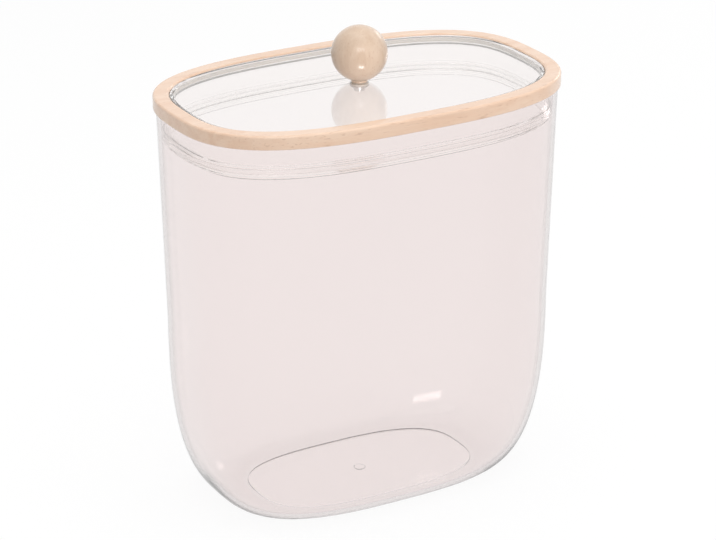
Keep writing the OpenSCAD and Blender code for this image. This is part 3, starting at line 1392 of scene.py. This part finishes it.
@dataclass(frozen=True)
class Studio:
    """A white sweep, seen as white, and soft light at a plain level.

    Attributes:
        ambient: The strength of the white room on matt surfaces.
        floor_side: The side of the floor.
        floor_glow: The part of the floor's white that shadows leave alone.
        floor_matt: How pale the rest of it is, which takes the shadow.
        floor_pale: How pale the floor is where only matt surfaces see it.
        bounces: How often light may turn in the clear walls.
        lamps: The lamps.
    """

    ambient: float = 0.4
    floor_side: float = 12.0
    floor_glow: float = 0.895
    floor_matt: float = 0.125
    floor_pale: float = 0.8
    bounces: int = 48
    lamps: tuple[Lamp, ...] = (
        Lamp("key", azimuth=-25, elevation=34, distance=1.6, width=0.88, height=0.4, glow=3.6),
        Lamp("rim", azimuth=116, elevation=21, distance=1.6, width=0.5, height=0.33, glow=2.4),
        Lamp("top", azimuth=0, elevation=88, distance=1.8, width=1.6, height=1.6, glow=2.1, shiny=False),
        Lamp("side", azimuth=40, elevation=12, distance=1.8, width=1, height=1, glow=2, shiny=False),
        Lamp(
            "low", azimuth=-20, elevation=-42, distance=0.33, width=0.1, height=0.06, glow=32,
            aim=(0, 0, 0.2666), only=("ball_knob", "pad_washer", "flat_washer", "recess_screw"),
        ),
    )

    @staticmethod
    def _seen(tree: bpy.types.NodeTree) -> bpy.types.NodeSocket:
        """Says 1 where the camera sees a surface, straight or by gloss or glass.

        Args:
            tree: The nodes that it is added to.

        Returns:
            The output that holds the 1 or 0.
        """
        path = tree.nodes.new("ShaderNodeLightPath")
        total = path.outputs["Is Camera Ray"]
        for name in ("Is Glossy Ray", "Is Transmission Ray"):
            either = tree.nodes.new("ShaderNodeMath")
            either.operation = "MAXIMUM"
            tree.links.new(total, either.inputs[0])
            tree.links.new(path.outputs[name], either.inputs[1])
            total = either.outputs[0]
        first = tree.nodes.new("ShaderNodeMath")
        first.operation = "LESS_THAN"
        first.inputs[1].default_value = 0.5
        tree.links.new(path.outputs["Diffuse Depth"], first.inputs[0])
        both = tree.nodes.new("ShaderNodeMath")
        both.operation = "MULTIPLY"
        tree.links.new(total, both.inputs[0])
        tree.links.new(first.outputs[0], both.inputs[1])
        return both.outputs[0]

    def _room(self) -> None:
        """Makes the white room round the floor."""
        world = bpy.data.worlds.new("white_room")
        world.use_nodes = True
        tree = world.node_tree
        tree.nodes.clear()
        strength = tree.nodes.new("ShaderNodeMapRange")
        strength.inputs["To Min"].default_value = self.ambient
        strength.inputs["To Max"].default_value = 1.0
        tree.links.new(self._seen(tree), strength.inputs["Value"])
        light = tree.nodes.new("ShaderNodeBackground")
        light.inputs["Color"].default_value = (1, 1, 1, 1)
        tree.links.new(strength.outputs["Result"], light.inputs["Strength"])
        out = tree.nodes.new("ShaderNodeOutputWorld")
        tree.links.new(light.outputs[0], out.inputs["Surface"])
        bpy.context.scene.world = world

    def _floor(self) -> None:
        """Makes the floor, which the camera sees as white but for the shadow."""
        bpy.ops.object.select_all(action="DESELECT")
        bpy.ops.mesh.primitive_plane_add(size=self.floor_side)
        floor = bpy.context.object
        floor.name = "floor"
        sheet = NodeSheet("white_sweep")
        matt = sheet.add("BsdfDiffuse", Color=(*[self.floor_pale] * 3, 1))
        glow = sheet.add("Emission", Color=(1, 1, 1, 1), Strength=self.floor_glow)
        dim = sheet.add("BsdfDiffuse", Color=(*[self.floor_matt] * 3, 1))
        white = sheet.add("AddShader", slot_0=glow.outputs[0], slot_1=dim.outputs[0])
        mixed = sheet.add(
            "MixShader", slot_0=self._seen(sheet.tree), slot_1=matt.outputs[0], slot_2=white.outputs[0]
        )
        floor.data.materials.append(sheet.close(mixed.outputs[0]))

    def build(self) -> None:
        """Sets the room, the floor and the lamps."""
        scene = bpy.context.scene
        scene.view_settings.view_transform = "Standard"
        scene.cycles.max_bounces = scene.cycles.glossy_bounces = self.bounces
        scene.cycles.transmission_bounces = scene.cycles.transparent_max_bounces = self.bounces
        self._room()
        self._floor()
        for lamp in self.lamps:
            lamp.place()


# rim=0.55 paints shade on the canister's edges: its tint darkens to 55% where the wall turns edge-on.
CANISTER_PLASTIC = Clear(
    "canister_plastic", tint=(0.993, 0.947, 0.939), depth_tint=(0.54, 0.5, 0.5), depth=58.0, rim=0.55
)
LID_PLASTIC = Clear("lid_plastic", tint=(0.998, 0.996, 0.99), depth_tint=(0.9, 0.85, 0.8), depth=3.0)
SEAL_SILICONE = Clear(
    "seal_silicone",
    tint=(0.998, 0.996, 0.992),
    depth_tint=(0.9, 0.88, 0.85),
    depth=3.0,
    haze=(0.02, 0.1),
    refraction=1.41,
    grain=900.0,
)
PAD_SILICONE = Milky("pad_silicone", shade(250, 247, 243), shade(243, 239, 234))
BAND_TIMBER = Timber(
    "band_timber",
    pale=shade(249, 217, 191),
    warm=shade(241, 203, 174),
    fleck=shade(206, 164, 134),
    # The painted lighter wood for the band's faces in shade.
    painted_light=shade(252, 236, 220),
    grain=(14, 130, 130),
)
KNOB_TIMBER = Timber(
    "knob_timber",
    pale=shade(230, 204, 180),
    warm=shade(220, 191, 165),
    fleck=shade(206, 162, 130),
    painted_light=shade(252, 232, 212),
    grain=(160, 160, 30),
    shift=(3.0, 1.0, 2.0),
)
SCREW_STEEL = TurnedMetal("screw_steel", shade(226, 227, 229), (0.16, 0.3))
INSERT_BRASS = TurnedMetal("insert_brass", shade(214, 178, 100), (0.22, 0.4))


def main() -> None:
    """Builds and dresses every piece, and sets the studio."""
    PhotoView().place()

    body_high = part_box("canister")[1]
    band_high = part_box("lid_band")[1]
    knob_low, knob_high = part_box("knob")
    rim = Oval(body_high.x, body_high.y, OVAL_POWER)
    turns = rim.even_turns(RING_POINTS)
    sizes = LidSizes(rim, body_high.z, band_high.z, band_high.x - body_high.x, turns)

    body = Canister(rim, body_high.z, turns).build()
    stand_for(body, CANISTER_PLASTIC, "canister", "canister")
    stand_for(LidPanel(sizes).build(), LID_PLASTIC, "lid_panel")
    stand_for(TimberBand(sizes).build(), BAND_TIMBER, "lid_band")
    stand_for(LipSeal(sizes).build(), SEAL_SILICONE, "lid_seal")
    knob = BallKnob(knob_high.x, knob_high.z, knob_low.z).build()
    stand_for(knob, KNOB_TIMBER, "knob")
    stand_for(RecessScrew.at("knob_screw").build(), SCREW_STEEL, "knob_screw")
    flat = Washer.at("screw_washer").build("flat_washer")
    stand_for(flat, SCREW_STEEL, "screw_washer")
    pad = Washer.at("soft_washer", edge=PAD_ROUND).build("pad_washer")
    stand_for(pad, PAD_SILICONE, "soft_washer")
    stand_for(ThreadInsert.at("knob_insert").build(), INSERT_BRASS, "knob_insert")

    Studio().build()


if __name__ == "__main__":
    logging.basicConfig(level=logging.INFO, format="%(message)s")
    main()
